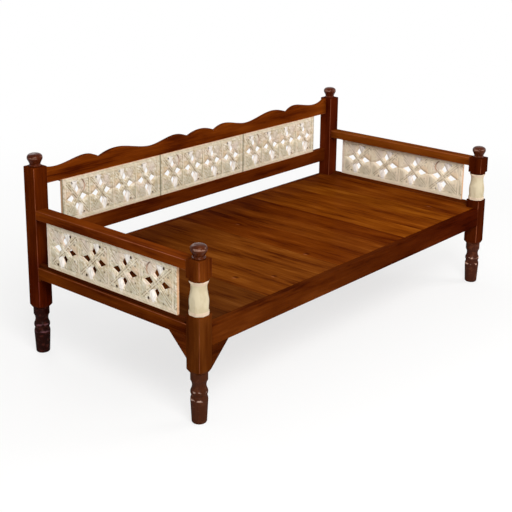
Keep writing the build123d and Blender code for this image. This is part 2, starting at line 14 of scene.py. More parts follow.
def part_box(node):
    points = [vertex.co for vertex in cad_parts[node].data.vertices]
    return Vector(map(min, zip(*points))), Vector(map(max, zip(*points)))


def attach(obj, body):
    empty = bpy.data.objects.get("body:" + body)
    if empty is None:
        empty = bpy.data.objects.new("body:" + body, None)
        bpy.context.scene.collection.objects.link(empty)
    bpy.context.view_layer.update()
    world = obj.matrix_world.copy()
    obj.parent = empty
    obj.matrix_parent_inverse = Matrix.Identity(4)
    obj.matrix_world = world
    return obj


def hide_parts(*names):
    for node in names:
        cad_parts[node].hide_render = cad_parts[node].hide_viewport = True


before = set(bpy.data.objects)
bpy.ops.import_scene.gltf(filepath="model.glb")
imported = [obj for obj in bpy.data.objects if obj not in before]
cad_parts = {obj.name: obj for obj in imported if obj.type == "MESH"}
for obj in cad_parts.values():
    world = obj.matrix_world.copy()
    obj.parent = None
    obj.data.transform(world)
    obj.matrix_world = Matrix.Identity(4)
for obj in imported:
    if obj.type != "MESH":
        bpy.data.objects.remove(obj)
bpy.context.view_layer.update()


# %% [markdown]
# ## The camera
# The daybed is seen from its front left corner and from a little above. A long lens stands back
# from the piece, so that its far end doesn't shrink too much. The lens is shifted down instead of
# tilted, which keeps the posts nearly upright in the picture.

# %% Place the camera
camera_place = Vector((-3.6816, -3.0577, 2.0090))
camera_right = Vector((0.656927, -0.753878, 0.010764))
camera_up = Vector((0.193849, 0.182681, 0.963873))
sensor_width = 36.0
focal_in_pixels = 1072.3
picture_width = 512.0
lens_shift = -0.16


def make_camera():
    """A camera whose X axis is camera_right and whose Y axis is camera_up. It looks along -Z."""
    data = bpy.data.cameras.new("camera")
    data.sensor_width = sensor_width
    data.lens = focal_in_pixels * sensor_width / picture_width
    data.shift_y = lens_shift
    camera = bpy.data.objects.new("camera", data)
    bpy.context.scene.collection.objects.link(camera)
    right = camera_right.normalized()
    back = right.cross(camera_up).normalized()
    up = back.cross(right)
    turn = Matrix((right, up, back)).transposed().to_4x4()
    camera.matrix_world = Matrix.Translation(camera_place) @ turn
    bpy.context.scene.camera = camera
    return camera


camera = make_camera()
print("lens", round(camera.data.lens, 1), "mm")


# %% [markdown]
# ## A small language for materials
# A material in Blender is a graph of nodes. Long graphs are hard to read as lists of links, so
# small classes let the maths be written as maths. `Wire` stands for the value that comes out of a
# node, and its operators add Math nodes. `Graph` holds the nodes, and its method `add` makes any
# other kind of node.

# %% Define wires and graphs
class Wire:
    """A value that comes out of a node. Arithmetic on it adds Math nodes to its graph."""

    def __init__(self, graph, socket):
        self.graph = graph
        self.socket = socket

    def math(self, operation, *values):
        return self.graph.add("ShaderNodeMath", {"operation": operation}, dict(enumerate(values)))

    def __add__(self, other):
        return self.math("ADD", self, other)

    __radd__ = __add__

    def __sub__(self, other):
        return self.math("SUBTRACT", self, other)

    def __rsub__(self, other):
        return self.math("SUBTRACT", other, self)

    def __mul__(self, other):
        return self.math("MULTIPLY", self, other)

    __rmul__ = __mul__

    def __truediv__(self, other):
        return self.math("DIVIDE", self, other)

    def __rtruediv__(self, other):
        return self.math("DIVIDE", other, self)

    def __pow__(self, power):
        return self.math("POWER", self, power)

    def __abs__(self):
        return self.math("ABSOLUTE", self)

    def least(self, other):
        return self.math("MINIMUM", self, other)

    def most(self, other):
        return self.math("MAXIMUM", self, other)

    def fraction(self):
        return self.math("FRACT", self)

    def step(self, low, high):
        """0 below low and 1 above high, with a smooth rise between. Swapped limits make it fall."""
        values = {0: self, 1: low, 2: high, 3: 0.0, 4: 1.0}
        return self.graph.add("ShaderNodeMapRange", {"interpolation_type": "SMOOTHSTEP"}, values)


class Graph:
    """The nodes of a material or of the world."""

    def __init__(self, tree):
        self.tree = tree

    def add(self, kind, settings, values, output=0):
        """Makes a node: its settings are set first, then the values or links of its sockets."""
        node = self.tree.nodes.new(kind)
        for setting, value in settings.items():
            setattr(node, setting, value)
        for socket, value in values.items():
            self.join(node.inputs[socket], value)
        return Wire(self, node.outputs[output])

    def join(self, socket, value):
        if isinstance(value, Wire):
            self.tree.links.new(value.socket, socket)
        else:
            socket.default_value = value


# %% [markdown]
# `Finish` is the graph of one material. Its colour is laid on in coats, as a painter does: each
# call of `paint` puts one more colour over what is there.

# %% Define finishes
def linear(red, green, blue):
    """The linear colour of three numbers from 0 to 255, as a paint chart gives them."""
    shares = np.array((red, green, blue)) / 255
    values = np.where(shares <= 0.04045, shares / 12.92, ((shares + 0.055) / 1.055) ** 2.4)
    return (*values.tolist(), 1.0)


class Finish(Graph):
    """One material with a Principled surface. Its colour is built up in layers by `paint`."""

    def __init__(self, name, **constants):
        self.material = bpy.data.materials.new(name)
        self.material.use_nodes = True
        super().__init__(self.material.node_tree)
        self.surface = self.tree.nodes["Principled BSDF"]
        self.colour = None
        for socket, value in constants.items():
            self.surface.inputs[socket.replace("_", " ")].default_value = value

    def feed(self, socket, value):
        """Leads a value to one of the surface's own sockets."""
        self.join(self.surface.inputs[socket], value)

    def place(self):
        """The three coordinates of a point of the piece, in metres."""
        point = self.add("ShaderNodeTexCoord", {}, {}, "Object")
        return [self.add("ShaderNodeSeparateXYZ", {}, {0: point}, axis) for axis in "XYZ"]

    def vector(self, x, y, z):
        return self.add("ShaderNodeCombineXYZ", {}, {0: x, 1: y, 2: z})

    def noise(self, x, y, z, detail=2.0, roughness=0.5):
        """Smooth noise from 0 to 1 that changes about once per unit of its three coordinates."""
        values = {"Vector": self.vector(x, y, z), "Scale": 1.0}
        values |= {"Detail": detail, "Roughness": roughness}
        return self.add("ShaderNodeTexNoise", {}, values)

    def mix(self, factor, first, second, blend="MIX"):
        """The first colour, with the second over it by a factor."""
        settings = {"data_type": "RGBA", "blend_type": blend}
        return self.add("ShaderNodeMix", settings, {0: factor, 6: first, 7: second}, 2)

    def paint(self, share, colour, blend="MIX"):
        """Lays a colour over the layers so far, by a share from 0 to 1, and shows the result."""
        self.colour = self.mix(share, self.colour, colour, blend)
        self.feed("Base Color", self.colour)

    def bump(self, height, distance, strength=1.0):
        """Leads a height, in units of distance, to the surface's normal."""
        values = {"Height": height, "Distance": distance, "Strength": strength}
        self.feed("Normal", self.add("ShaderNodeBump", {}, values))

    def attribute(self, name):
        return self.add("ShaderNodeAttribute", {"attribute_name": name}, {}, "Fac")


print("white on a chart of 255 is", linear(255, 255, 255)[0])


# %% [markdown]
# ## Stained pine
# Pine shows three things under a brown stain: growth rings cut by the face of the plank, which run
# as long arches, fine pores along the grain, and knots that push the rings aside. The rings are
# worked out as they are in a tree. Each piece has a heart somewhere off to one side, and a ring is
# where the distance to the heart reaches a whole number of ring widths. The distance wanders a
# little along the trunk, which is what bends the lines into arches. A picture of wood could be
# wrapped round each piece instead, but then the end grain and the edges would not agree with the
# faces.

# %% Work out the grain
ring_width = 0.0085
wander_reach = 0.05
ripple_reach = 0.012
knot_swelling = 1.3


def grain_axes(finish, grain):
    """The place of a point along the grain and across it, for a grain along X, Y or Z."""
    x, y, z = finish.place()
    return {"X": (x, y, z), "Y": (y, x, z), "Z": (z, x, y)}[grain]


def near_knot(along, across, knot, shift=0.0):
    """Stretched distance to a knot in units of its size: 0 in its middle and 1 at its rim.

    The shift moves the knot across the grain, in units of its size."""
    knot_along, knot_across, size, stretch = knot
    far_along = (along - knot_along) / (stretch * size)
    far_across = (across - knot_across) / size + shift
    return (far_along * far_along + far_across * far_across) ** 0.5


def pine_lines(finish, along, across, through, heart, seed, knots):
    """Ring lines, pores, streaks, patches, dark knots and the painted highlights beside them, each
    from 0 to 1.

    The distance to the heart is the length of the way across and through the wood. Slow noise
    along the grain and a swelling round each knot are added to it before it is cut into rings. What
    the coordinates are multiplied by says how often a noise changes in a metre."""
    wander = finish.noise(along * 1.1 + seed, across * 3.0, through * 3.0 + seed, 2.0)
    ripple = finish.noise(along * 5.0, across * 45.0 + seed, through * 45.0, 3.0)
    side = across - heart[0] + (wander - 0.5) * wander_reach
    depth = through - heart[1]
    radius = (side * side + depth * depth) ** 0.5 + ripple * ripple_reach
    core, rim = 0.0, 0.0
    for knot in knots:
        distance = near_knot(along, across, knot)
        radius = radius + (distance * distance + 1.0) ** -1.0 * (knot_swelling * knot[2])
        core = distance.step(1.7, 0.3).most(core)
        rim = near_knot(along, across, knot, 1.5).step(1.1, 0.2).most(rim)
    phase = (radius / ring_width).fraction()
    clear = finish.noise(along * 2.0 + seed, across * 16.0, through * 16.0 + seed).step(0.4, 0.68)
    rings = phase ** 2.2 * phase.step(1.0, 0.9) * clear
    pores = finish.noise(along * 9.0 + seed, across * 420.0, through * 420.0, 3.0, 0.6)
    streaks = finish.noise(along * 4.0, across * 80.0 + seed, through * 80.0, 4.0, 0.6)
    patches = finish.noise(along * 2.6 + seed, across * 15.0, through * 15.0, 4.0, 0.6)
    return rings, pores, streaks, patches, core, rim


# %% [markdown]
# Edges are where a finish wears and where the stain was sanded back, and the pale band there also
# stands for a painted highlight on the rounded edge. The band is found from the corners of the
# piece's own box: close to an edge, the distances to two neighbouring sides are both small. The
# bevels of the construction model are about 3 mm wide, and so is the band.

# %% Find the worn edges
edge_width = 0.0026


def worn_and_highlit_edges(finish, node, grain):
    """1 on the long edges of a squared piece, and 0 a few millimetres away from them."""
    low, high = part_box(node)
    distances = []
    for axis, value in zip("XYZ", finish.place()):
        if axis != grain:
            index = "XYZ".index(axis)
            distances.append((value - low[index]).least(high[index] - value))
    return distances[0].most(distances[1]).step(edge_width, edge_width * 0.5)


# %% [markdown]
# The stain is built in layers, as in the workshop: the bare wood's pattern sets how much stain it
# drinks, a dark wash stays in the pores and in the knots, and a thin varnish closes it. Each piece
# has its own stain, because wood never drinks it evenly, and the darker and lighter layers are
# worked out from it. The wood itself hardly mirrors. What gloss there is lies in the varnish, which
# is the coat of the shader, thick on turned parts and on edges and thin on flat faces.
#
# The shade of a point adds up how much stain its patches, streaks, rings and pores take. From low
# to high it runs through four layers of colour, and each pair of numbers is a change of layer. The
# relief of the grain is a height in metres and the strength of its bump.

# %% Mix the stain
patch_weight, streak_weight, ring_weight, pore_weight = 2.6, 1.1, 0.3, 0.5
middle_shade = 0.54
deep_to_dark, dark_to_full, full_to_light = (-0.25, 0.25), (0.05, 0.55), (0.5, 1.15)
deep_layer = (0.34, 0.22, 0.25)
dark_layer = (0.58, 0.46, 0.5)
light_layer = (1.55, 1.85, 2.4)
edge_wear_and_highlight_tan = linear(150, 84, 56)
knot_highlight_tan = linear(156, 92, 56)
varnish_tint = (1.0, 0.66, 0.52, 1.0)
planed_gloss = 0.006
worn_gloss = 0.12
planed_roughness, turned_roughness = 0.34, 0.12
pore_roughness = 0.12
grain_relief = (0.0004, 0.5)


def layer(stain, shares):
    """A darker or lighter layer of a stain, which is given as on a paint chart."""
    return tuple(value * share for value, share in zip(linear(*stain), (*shares, 1.0)))


def stained_pine(node, grain, heart, seed, stain, knots=(), edge_wear_and_glint=0.0, mirror=0.0):
    """The finish of one stained piece.

    Edge wear and glint is how far its edges are painted pale, as wear and as a painted highlight.
    Mirror is the gloss of a knob, which the stain tints, and 0 on planed parts. The finish keeps
    the parts of its pattern that later steps build on."""
    finish = Finish(
        f"stained_pine_{node}",
        Specular_IOR_Level=mirror,
        Specular_Tint=varnish_tint,
        Coat_Roughness=0.17,
        Coat_IOR=1.5,
    )
    along, across, through = grain_axes(finish, grain)
    lines = pine_lines(finish, along, across, through, heart, seed, knots)
    rings, pores, streaks, patches, core, rim = lines
    shade = (patches - 0.5) * patch_weight + (streaks - 0.5) * streak_weight
    shade = shade - rings * ring_weight + (pores - 0.5) * pore_weight + middle_shade
    finish.colour = layer(stain, deep_layer)
    finish.paint(shade.step(*deep_to_dark), layer(stain, dark_layer))
    finish.paint(shade.step(*dark_to_full), linear(*stain))
    finish.paint(shade.step(*full_to_light), layer(stain, light_layer))
    if knots:
        finish.paint(core * 0.85, layer(stain, deep_layer))
        # Painted highlight: a pale crescent beside each knot.
        finish.paint(rim * 0.4, knot_highlight_tan)
    coat = (1.3 - pores * 0.6) * planed_gloss
    if edge_wear_and_glint:
        # The pale edge band is worn wood and a painted highlight of the rounded edge.
        rub_and_glint = finish.noise(along * 12.0, across * 30.0, through * 30.0, 2.0).step(0.3, 0.7)
        edge = worn_and_highlit_edges(finish, node, grain) * (rub_and_glint * 0.7 + 0.3)
        finish.paint(edge * edge_wear_and_glint, edge_wear_and_highlight_tan)
        coat = coat + edge * worn_gloss
    finish.pattern = {"coat": coat, "pores": pores, "streaks": streaks}
    roughness = turned_roughness if mirror else planed_roughness
    finish.feed("Roughness", pores * pore_roughness + roughness)
    finish.feed("Coat Weight", coat)
    finish.bump(pores * 0.5 + rings * 0.35 + streaks * 0.4, *grain_relief)
    return finish


print("the dark layer of a brown stain:", layer((104, 47, 6), dark_layer))


# %% [markdown]
# ## The planks of the seat
# No two planks come from the same place in the tree, so each has its own heart, its own stain and
# its own knots. The planks beside the left arm have darker stains, and towards the rear, more so on
# the left, the seat is darkened by a painted shade. The knots that catch the eye are listed. A knot
# is given as its places along and across the plank, its size and how far it is stretched along the
# grain.

# %% Dress the planks
plank_knots = {
    3: [(-0.25, -0.56, 0.009, 1.5)],
    4: [(0.12, -0.40, 0.007, 2.5), (-0.36, -0.44, 0.008, 1.5)],
    5: [(0.075, -0.313, 0.008, 1.6), (-0.163, -0.325, 0.008, 1.5), (-0.325, -0.328, 0.009, 1.6)],
    6: [(-0.287, -0.130, 0.009, 1.6), (0.218, -0.02, 0.007, 2.5)],
    7: [(0.36, 0.02, 0.007, 1.6)],
    8: [(0.470, 0.170, 0.008, 1.6), (-0.2, 0.13, 0.006, 2.0)],
    9: [(-0.055, 0.218, 0.006, 6.0), (0.3, 0.29, 0.006, 2.0)],
    10: [(-0.39, 0.42, 0.006, 5.0)],
    11: [(0.26, 0.60, 0.007, 2.0)],
    12: [(0.260, 0.702, 0.007, 2.0), (-0.3, 0.86, 0.006, 4.0)],
}
plank_stains = (
    (70, 33, 8), (85, 42, 10), (101, 49, 9), (102, 50, 10), (108, 54, 12), (96, 41, 5),
    (101, 46, 7), (92, 38, 4), (109, 52, 7), (103, 47, 6), (111, 54, 7), (104, 47, 6),
)


def dress(node, finish):
    """Gives a piece its finish in every material slot."""
    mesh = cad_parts[node].data
    mesh.materials.clear()
    mesh.materials.append(finish.material)


rear_shade_tint = (0.48, 0.4, 0.42, 1.0)
rear_slant = 0.2
rear_reach = (0.0, 0.6)
seat_top = 0.403
random = np.random.default_rng(7)
for number, stain in enumerate(plank_stains, start=1):
    node = f"deck_board_{number:02d}"
    low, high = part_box(node)
    middle = (low.x + high.x) / 2
    heart = (middle + random.uniform(-0.05, 0.05), seat_top - random.uniform(0.03, 0.09))
    finish = stained_pine(node, "Y", heart, number * 3.7, stain, plank_knots.get(number, ()))
    x, y, z = finish.place()
    # Painted shade: the seat darkens towards the rear, more so on the left.
    rear = (y - x * rear_slant).step(*rear_reach)
    finish.paint(rear, rear_shade_tint, "MULTIPLY")
    dress(node, finish)
print("planks dressed:", len(plank_stains))


# %% [markdown]
# ## Rails, aprons and gussets
# The rails are squared timber, with the grain along the piece. Hands and clothes rub the arm rails
# and the crest most, so their edges are worn furthest, and their pale edge band also carries a
# painted highlight. The front apron drank more stain towards its right end.

# %% Dress the rails, aprons and gussets
rail_finishes = {
    "front_apron": ("X", (79, 33, 5), 0.0),
    "rear_apron": ("X", (75, 30, 5), 0.2),
    "lower_back_rail": ("X", (85, 33, 4), 0.2),
    "crest_rail": ("X", (98, 40, 4), 0.55),
    "upper_back_bead": ("X", (92, 38, 6), 0.0),
    "lower_back_bead": ("X", (92, 38, 6), 0.0),
    "front_gusset": ("X", (71, 29, 4), 0.0),
    "left_gusset": ("Y", (84, 36, 7), 0.0),
    "rear_left_corner_block": ("Y", (84, 34, 6), 0.0),
    "left_side_apron": ("Y", (80, 32, 3), 0.6),
    "right_side_apron": ("Y", (86, 37, 4), 0.3),
    "left_arm_rail": ("Y", (101, 43, 6), 0.8),
    "right_arm_rail": ("Y", (112, 54, 10), 0.7),
    "left_panel_cleat": ("Y", (66, 26, 6), 0.0),
    "right_panel_cleat": ("Y", (90, 38, 7), 0.0),
}
right_end_tint = (0.46, 0.22, 0.18, 1.0)
right_end_reach = (-0.8, 1.1)
rails = {}
for number, (node, (grain, stain, edge_wear_and_glint)) in enumerate(rail_finishes.items()):
    low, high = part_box(node)
    first, second = {"X": (1, 2), "Y": (0, 2)}[grain]
    heart = (
        (low[first] + high[first]) / 2 + random.uniform(-0.06, 0.06),
        (low[second] + high[second]) / 2 + random.uniform(0.04, 0.09),
    )
    finish = stained_pine(node, grain, heart, 50 + number * 2.3, stain, (), edge_wear_and_glint)
    dress(node, finish)
    rails[node] = finish

apron = rails["front_apron"]
apron.paint(apron.place()[0].step(*right_end_reach), right_end_tint, "MULTIPLY")
print("rails and aprons dressed:", len(rails))


# %% [markdown]
# The front gusset is nailed on. The heads are punched below the face and filled with dark wax, so
# each one is a small dark spot in the finish with a shallow dent.

# %% Punch the nails of the gusset
nail_places = (
    (-0.9057, 0.3193), (-0.9453, 0.3075), (-0.9285, 0.3018), (-0.9507, 0.2769), (-0.9930, 0.2590)
)
nail_radius = 0.0032
gusset_face = (-0.506, -0.508)
wax_brown = linear(40, 16, 6)

gusset = rails["front_gusset"]
x, y, z = gusset.place()
nails = 0.0
for nail_x, nail_z in nail_places:
    away = ((x - nail_x) * (x - nail_x) + (z - nail_z) * (z - nail_z)) ** 0.5
    nails = away.step(nail_radius, nail_radius * 0.6).most(nails)
nails = nails * y.step(*gusset_face)
gusset.paint(nails * 0.85, wax_brown)
gusset.bump(gusset.pattern["streaks"] * 0.4 + nails * -3.0, *grain_relief)
print("nails:", len(nail_places))


# %% [markdown]
# ## Posts and knobs
# A post is squared where the rails join it and turned below. Turned wood takes a thicker varnish on
# the lathe, so the foot and the knob shine more, and their highest rings carry painted highlights,
# pale in broken places. Brooms and shoes have rubbed the feet, and each foot has taken its own
# brown. The lower stretch of two posts is darker, where the rails keep the light off.

# %% Sizes and colours of the turned parts
foot_top, foot_fade = 0.222, 0.008
foot_varnish = 0.11
foot_cover = 0.88
foot_browns = {
    "front_left": linear(69, 31, 13),
    "front_right": linear(62, 30, 18),
    "rear_left": linear(26, 6, 2),
    "rear_right": linear(46, 16, 8),
}
foot_rub = linear(104, 58, 36)
# The pale pink of the painted highlights on the turned parts.
highlight_pink = linear(228, 186, 164)
foot_highlight_heights = (0.134, 0.101)
foot_highlight_shares = {"front_left": 0.6, "front_right": 0.6, "rear_left": 0.14, "rear_right": 0.6}
knob_mirror = 0.1
knob_highlight_drop = 0.016
knob_highlight_share = 0.2
lower_reach = (0.5, 0.4)
lower_tints = {"front_left": (0.71, 0.75, 0.78, 1.0), "rear_left": (0.68, 0.5, 0.8, 1.0)}
post_stains = {
    "front_left": (84, 36, 6),
    "front_right": (59, 17, 2),
    "rear_left": (76, 26, 2),
    "rear_right": (70, 20, 3),
}
knob_stains = {
    "front_left": (64, 25, 7),
    "front_right": (66, 28, 12),
    "rear_left": (60, 20, 5),
    "rear_right": (70, 24, 6),
}


def smears_and_glints_of(finish, seed):
    """Smooth noise in spots of about 2 cm: where a turned part was touched, and where painted
    highlights show.
    """
    x, y, z = finish.place()
    return finish.noise(x * 40.0, y * 40.0, z * 60.0 + seed, 3.0)


def paint_highlight_ring(finish, smears_and_glints, height, half_widths, share):
    """Paints a pale highlight ring round a turned part, shown only where the smears are strong.

    The ring fades out between its two half widths, counted up and down from its height."""
    outer, inner = half_widths
    ring = abs(finish.place()[2] - height).step(outer, inner) * smears_and_glints.step(0.48, 0.58)
    finish.paint(ring * share, highlight_pink)


print("turned parts:", len(post_stains), "posts and", len(knob_stains), "knobs")


# %% [markdown]
# The front posts also carry the vase, which is painted cream with slightly rosy collars. The paint
# is a band of the post's height in the same finish, so no second skin lies over the wood.

# %% Paint the vase
vase_band = (0.4442, 0.5795)
vase_edge = 0.0004
collar_height, collar_edge = 0.016, 0.002
vase_cream = linear(193, 180, 152)
vase_shade = linear(176, 160, 130)
vase_rose = linear(208, 184, 162)


def vase_paint(finish):
    """Where a front post carries its vase, from 0 to 1, and the vase's colour."""
    x, y, z = finish.place()
    bottom, top = vase_band
    lower, upper = bottom + collar_height, top - collar_height
    vase = z.step(bottom, bottom + vase_edge) * z.step(top, top - vase_edge)
    collars = z.step(lower, lower - collar_edge).most(z.step(upper, upper + collar_edge))
    clouds = finish.noise(x * 30.0, y * 30.0, z * 16.0, 3.0)
    cream = finish.mix(clouds.step(0.55, 0.42) * 0.5, vase_cream, vase_shade)
    return vase, finish.mix(collars * 0.65, cream, vase_rose)


print("vase:", round(vase_band[1] - vase_band[0], 3), "m tall")


# %% Dress the posts and knobs
def dress_post(place, stain, seed):
    """The stain of one post, a dark foot with painted highlight rings, and on a front post the
    cream vase.
    """
    node = f"{place}_post"
    low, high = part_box(node)
    heart = ((low.x + high.x) / 2 + random.uniform(-0.06, 0.06), (low.y + high.y) / 2 + 0.07)
    finish = stained_pine(node, "Z", heart, seed, stain, (), 0.6)
    z = finish.place()[2]
    foot = z.step(foot_top, foot_top - foot_fade)
    smears_and_glints = smears_and_glints_of(finish, seed)
    finish.paint(foot * foot_cover, foot_browns[place])
    finish.paint(foot * smears_and_glints.step(0.52, 0.66) * 0.35, foot_rub)
    # Painted highlights: pale rings on the bead and the ring of the foot.
    for height in foot_highlight_heights:
        paint_highlight_ring(finish, smears_and_glints, height, (0.005, 0.0015), foot_highlight_shares[place])
    if place in lower_tints:
        finish.paint(z.step(*lower_reach), lower_tints[place], "MULTIPLY")
    coat = finish.pattern["coat"] + foot * foot_varnish
    if place.startswith("front"):
        vase, cream = vase_paint(finish)
        finish.paint(vase, cream)
        coat = coat * (1.0 - vase)
    roughness = planed_roughness - foot * 0.18 + finish.pattern["pores"] * pore_roughness
    finish.feed("Coat Weight", coat)
    finish.feed("Roughness", roughness)
    dress(node, finish)


def dress_knob(place, stain, seed):
    """A turned knob: a dark stain under a thick varnish, with a painted highlight round its crown.
    """
    node = f"{place}_finial"
    low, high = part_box(node)
    heart = ((low.x + high.x) / 2 + 0.05, (low.y + high.y) / 2 + 0.05)
    finish = stained_pine(node, "Z", heart, seed, stain, (), 0.0, knob_mirror)
    crown = high.z - knob_highlight_drop
    # Painted highlight: a pale ring round the crown of the knob.
    paint_highlight_ring(finish, smears_and_glints_of(finish, seed), crown, (0.006, 0.002), knob_highlight_share)
    dress(node, finish)


for number, (place, stain) in enumerate(post_stains.items()):
    dress_post(place, stain, 80 + number * 3.1)
    dress_knob(place, knob_stains[place], 95 + number * 2.7)
print("posts dressed:", list(post_stains))


# %% [markdown]
# ## Bare wood and screws
# What nobody sees is left bare: ledgers, bearer, cross rails and dowels are plain planed pine. The
# screws are zinc plated steel.

# %% Dress the bare wood and the screws
def bare_pine(node, grain, heart, seed):
    """Planed pine without stain: pale yellow with brown latewood lines."""
    finish = Finish(f"bare_pine_{node}", Specular_IOR_Level=0.3)
    along, across, through = grain_axes(finish, grain)
    lines = pine_lines(finish, along, across, through, heart, seed, ())
    rings, pores, streaks, patches, _, _ = lines
    finish.colour = linear(214, 176, 120)
    finish.paint(streaks.step(0.2, 0.9), linear(190, 146, 92))
    finish.paint(rings * 0.6, linear(158, 104, 56))
    finish.paint(patches.step(0.45, 0.8) * 0.35, linear(226, 196, 148))
    finish.feed("Roughness", 0.5 + pores * 0.25)
    finish.bump(pores * 0.6 + rings * 0.4, *grain_relief)
    return finish


def zinc(node):
    """Zinc plate: a grey metal whose gloss changes in small spangles."""
    finish = Finish(f"zinc_{node}", Metallic=1.0)
    x, y, z = finish.place()
    spangle = finish.noise(x * 700.0, y * 700.0, z * 700.0, 3.0)
    finish.colour = linear(150, 150, 152)
    finish.paint(spangle, linear(190, 190, 188))
    finish.feed("Roughness", 0.28 + spangle * 0.25)
    return finish


bare_grain = {
    "front_ledger": "X",
    "rear_ledger": "X",
    "centre_bearer": "X",
    "cross_rail_left": "Y",
    "cross_rail_right": "Y",
    "arm_panel_dowels": "Z",
}
for number, (node, grain) in enumerate(bare_grain.items()):
    dress(node, bare_pine(node, grain, (0.06 * number, 0.3), 90.0 + number))
for node in ("deck_screws", "ledger_screws", "gusset_screws", "back_panel_pins"):
    dress(node, zinc(node))


# %% [markdown]
# ## The carved panels
# Each panel is one board, carved with four square flowers in a row. A V groove runs along each
# diagonal of a flower and one runs round it. Between the diagonals lie four pierced kites, each
# with its fat end to the middle, and two holes are drilled through beside the corners. Every kite
# has flat chip cut bevels, as a knife leaves them.

# %% Sizes of the carving
flower_count = 4
rim_height = 0.016
rim_bevel = 0.0012
groove_depth = 0.0014
groove_half = 0.0018
border_inset = 0.007
bevel_width = 0.012
bevel_depth = 0.005
kite_across = (0.12, 0.212, 0.4, 0.1)
kite_upright = (0.125, 0.217, 0.37, 0.083)
drilled_place = (0.235, 0.42)
drilled_radius = 0.006
drilled_sides = 16
drilled_inner = drilled_radius * 0.97
touching = 1e-6


def rectangle(middle, half_width, half_height):
    """The corners of a rectangle, counterclockwise."""
    signs = np.array(((-1, -1), (1, -1), (1, 1), (-1, 1)))
    return np.array(middle) + signs * (half_width, half_height)


def kites_of(width, height):
    """The four kites of a flower as corners round its middle, counterclockwise."""
    inner, widest, outer, half = kite_across
    right = np.array(((inner, 0), (widest, -half), (outer, 0), (widest, half))) * (width, height)
    inner, widest, outer, half = kite_upright
    top = np.array(((0, inner), (half, widest), (0, outer), (-half, widest))) * (width, height)
    return [right, -right, top, -top]


def drilled_of(width, height, hand):
    """The middles of the two drilled holes of a flower. The hand mirrors them."""
    place = np.array((drilled_place[0] * width * hand, drilled_place[1] * height))
    return [place, -place]


# %% [markdown]
# The signed distance to a kite is below zero inside it and above zero outside. Each side gives the
# distance to its own straight line, and the largest of them counts, so the lines of equal distance
# keep the kite's sharp corners.

# %% Measure from a kite
def side_normals(corners):
    """The outward normals of a polygon's sides. Its corners run counterclockwise."""
    sides = np.roll(corners, -1, axis=0) - corners
    normals = np.stack((sides[:, 1], -sides[:, 0]), 1)
    return normals / np.linalg.norm(normals, axis=1, keepdims=True)


def distance_to_kite(points, corners):
    """The largest of a point's distances to the straight lines of the kite's sides."""
    return ((points[..., None, :] - corners) * side_normals(corners)).sum(-1).max(-1)


def widened(corners, distance):
    """The polygon with its sides a distance farther out. Corners move along their two normals."""
    after = side_normals(corners)
    before = np.roll(after, 1, axis=0)
    share = distance / (1 + (after * before).sum(1, keepdims=True))
    return corners + (after + before) * share


# %% [markdown]
# The depth of the carving is written as straight slopes, and the deepest one wins at each point.

# %% Work out the depth of the carving
def groove(distance):
    """Depth of a V groove at a distance from its middle line."""
    return np.clip(1 - np.abs(distance) / groove_half, 0, 1) * groove_depth


def carving_depth(points, width, height, kites):
    """Depth of the carving at places of a flower, in metres.

    A diagonal's distance is worked out from its unit normal. The bevel of a kite is deepest at its
    outline and ends bevel_width away from it."""
    inset = np.minimum(width / 2 - np.abs(points[:, 0]), height / 2 - np.abs(points[:, 1]))
    normal = np.array((height, width)) / np.hypot(width, height)
    falling = points @ normal
    rising = points @ (normal * (1, -1))
    inside = inset > border_inset - touching
    depth = groove(inset - border_inset)
    depth = np.maximum(depth, np.maximum(groove(falling), groove(rising)) * inside)
    for kite in kites:
        slope = np.clip(1 - distance_to_kite(points, kite) / bevel_width, 0, 1)
        depth = np.maximum(depth, slope * bevel_depth)
    return depth


# %% [markdown]
# The face is drawn as a plan of straight lines: outlines, creases and the bottoms of grooves. A
# constrained triangulation then fills the plan with triangles that keep every line, so each facet
# of the carving is exactly flat and the openings have clean edges. Triangles in the openings are
# left out.

# %% Draw the plan of a panel
def ring_edges(first, count):
    """Edges that join count points into a ring, from the index of the first."""
    index = np.arange(count)
    return np.stack((first + index, first + (index + 1) % count), 1)


def flower_lines(middle, width, height, hand):
    """The lines of one flower, as a list of (points, whether they form a ring)."""
    lines = []
    for kite in kites_of(width, height):
        wide = widened(kite, bevel_width)
        lines += [(kite, True), (wide, True)]
        lines += [(np.stack(pair), False) for pair in zip(kite, wide)]
    angles = np.arange(drilled_sides) / drilled_sides * 2 * np.pi
    circle = np.stack((np.cos(angles), np.sin(angles)), 1) * drilled_radius
    lines += [(place + circle, True) for place in drilled_of(width, height, hand)]
    for offset in (-groove_half, 0.0, groove_half):
        inset = border_inset + offset
        lines.append((rectangle((0, 0), width / 2 - inset, height / 2 - inset), True))
        reach = np.array((width / 2 - border_inset, height / 2 - border_inset))
        slide = np.array((height, width)) / np.hypot(width, height) * offset
        for mirror in ((1, 1), (1, -1)):
            lines.append((np.stack((-reach, reach)) * mirror + slide * (1, -1) * mirror, False))
    return [(points + middle, closed) for points, closed in lines]


def triangulate(lines):
    """Points and triangles of a plan that keep all of its lines. Works in millimetres inside."""
    points = np.concatenate([line for line, _ in lines]) * 1000
    starts = np.cumsum([0] + [len(line) for line, _ in lines])
    edges = [ring_edges(start, len(line)) if closed else np.array(((start, start + 1),))
             for (line, closed), start in zip(lines, starts)]
    pairs = np.concatenate(edges).tolist()
    plan = delaunay_2d_cdt([Vector(point) for point in points], pairs, [], 0, 1e-4)
    return np.array([tuple(point) for point in plan[0]]) / 1000, np.array(plan[2])


# %% [markdown]
# Front and back of a panel share one plan, so each edge of the front that borders an opening or
# the outside has a partner on the back. A wall is a strip of two triangles between the two. Such an
# edge is easy to find, because no neighbouring triangle runs along it in the opposite direction.

